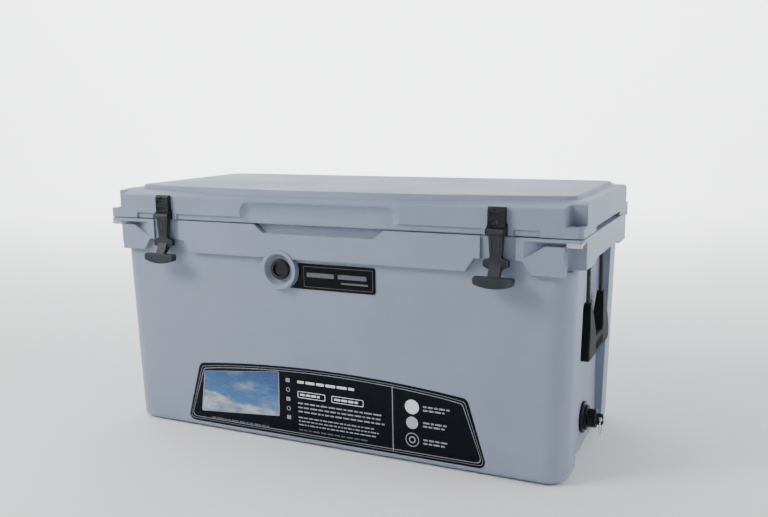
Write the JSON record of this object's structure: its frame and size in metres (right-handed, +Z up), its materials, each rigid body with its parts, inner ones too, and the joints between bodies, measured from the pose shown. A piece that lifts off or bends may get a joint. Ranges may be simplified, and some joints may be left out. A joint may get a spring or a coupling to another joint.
{
  "type": "cooler chest",
  "caption": "Large foam-filled moulded cooler chest with a hinged lid, rubber pull latches, rope handles, a pressure vent and a threaded drain.",
  "frame": {"origin": "middle of the chest on the floor it stands on", "axes": "+X along the chest towards the drain end, +Y from the front to the hinge side, +Z up"},
  "size_m": [0.8615, 0.4405, 0.44],
  "materials": {
    "body_plastic": "matte",
    "lid_plastic": "matte",
    "foam": "matte",
    "seal_rubber": "matte",
    "strap_rubber": "matte",
    "black_plastic": "satin",
    "grip_plastic": "matte",
    "rope": "matte",
    "gloss_plate": "gloss",
    "label_film": "gloss",
    "steel": "satin",
    "dark_steel": "satin"
  },
  "bodies": {
    "tub": {"tub_shell": "body_plastic", "tub_foam": "foam", "tub_fill_plugs": "body_plastic", "rubber_feet": "seal_rubber", "hinge_pin_left": "steel", "hinge_pin_right": "steel", "hinge_pin_clips": "steel", "lock_plate_left": "steel", "lock_plate_right": "steel", "lock_plate_screws": "steel", "nameplate": "gloss_plate", "front_label": "label_film", "vent_body": "black_plastic", "vent_spring": "steel", "vent_gasket": "seal_rubber", "vent_nut": "black_plastic", "drain_fitting": "black_plastic", "drain_washer": "seal_rubber", "drain_nut": "black_plastic", "rope_anchors_left": "black_plastic", "rope_anchors_right": "black_plastic"},
    "lid": {"lid_shell": "lid_plastic", "lid_foam": "foam", "lid_fill_plug": "lid_plastic", "lid_gasket": "seal_rubber", "latch_bracket_left": "black_plastic", "latch_bracket_right": "black_plastic", "latch_pin_left": "dark_steel", "latch_pin_right": "dark_steel", "latch_screws": "dark_steel"},
    "latch_left": {"latch_strap_left": "strap_rubber"},
    "latch_right": {"latch_strap_right": "strap_rubber"},
    "handle_left": {"handle_rope_left": "rope", "handle_grip_left": "grip_plastic"},
    "handle_right": {"handle_rope_right": "rope", "handle_grip_right": "grip_plastic"},
    "vent_push": {"vent_button": "black_plastic"},
    "drain_seal": {"drain_cap_seal": "seal_rubber"},
    "drain_plug": {"drain_cap": "black_plastic"},
    "pull_ring": {"drain_ring": "steel"}
  },
  "joints": [
    {"name": "lid_hinge", "type": "hinge", "parent": "tub", "child": "lid", "pos_m": [0, 0.208, 0.3845], "axis": [-1, 0, 0], "range_deg": [0, 100]},
    {"name": "latch_left_swing", "type": "hinge", "parent": "lid", "child": "latch_left", "pos_m": [-0.305, -0.207, 0.391], "axis": [-1, 0, 0], "range_deg": [0, 120]},
    {"name": "latch_right_swing", "type": "hinge", "parent": "lid", "child": "latch_right", "pos_m": [0.305, -0.207, 0.391], "axis": [-1, 0, 0], "range_deg": [0, 120]},
    {"name": "handle_left_swing", "type": "hinge", "parent": "tub", "child": "handle_left", "pos_m": [-0.411, 0, 0.333], "axis": [0, 1, 0], "range_deg": [0, 90]},
    {"name": "handle_right_swing", "type": "hinge", "parent": "tub", "child": "handle_right", "pos_m": [0.411, 0, 0.333], "axis": [0, -1, 0], "range_deg": [0, 90]},
    {"name": "vent_press", "type": "slide", "parent": "tub", "child": "vent_push", "axis": [0, 1, 0], "range_m": [0, 0.003], "stiffness_N_per_m": 800, "springref_m": -0.002, "deforming": ["vent_spring"]},
    {"name": "drain_cap_travel", "type": "slide", "parent": "tub", "child": "drain_seal", "axis": [1, 0, 0], "range_m": [0, 0.012]},
    {"name": "drain_cap_turn", "type": "hinge", "parent": "drain_seal", "child": "drain_plug", "pos_m": [0.415, 0, 0.052], "axis": [1, 0, 0], "range_deg": [0, 1440]},
    {"name": "pull_ring_swing", "type": "hinge", "parent": "drain_plug", "child": "pull_ring", "pos_m": [0.427, 0, 0.0489], "axis": [0, -1, 0], "range_deg": [-6, 85]}
  ],
  "couplings": [
    {"joint": "drain_cap_travel", "follows": "drain_cap_turn", "m_per_rad": 0.000477}
  ]
}
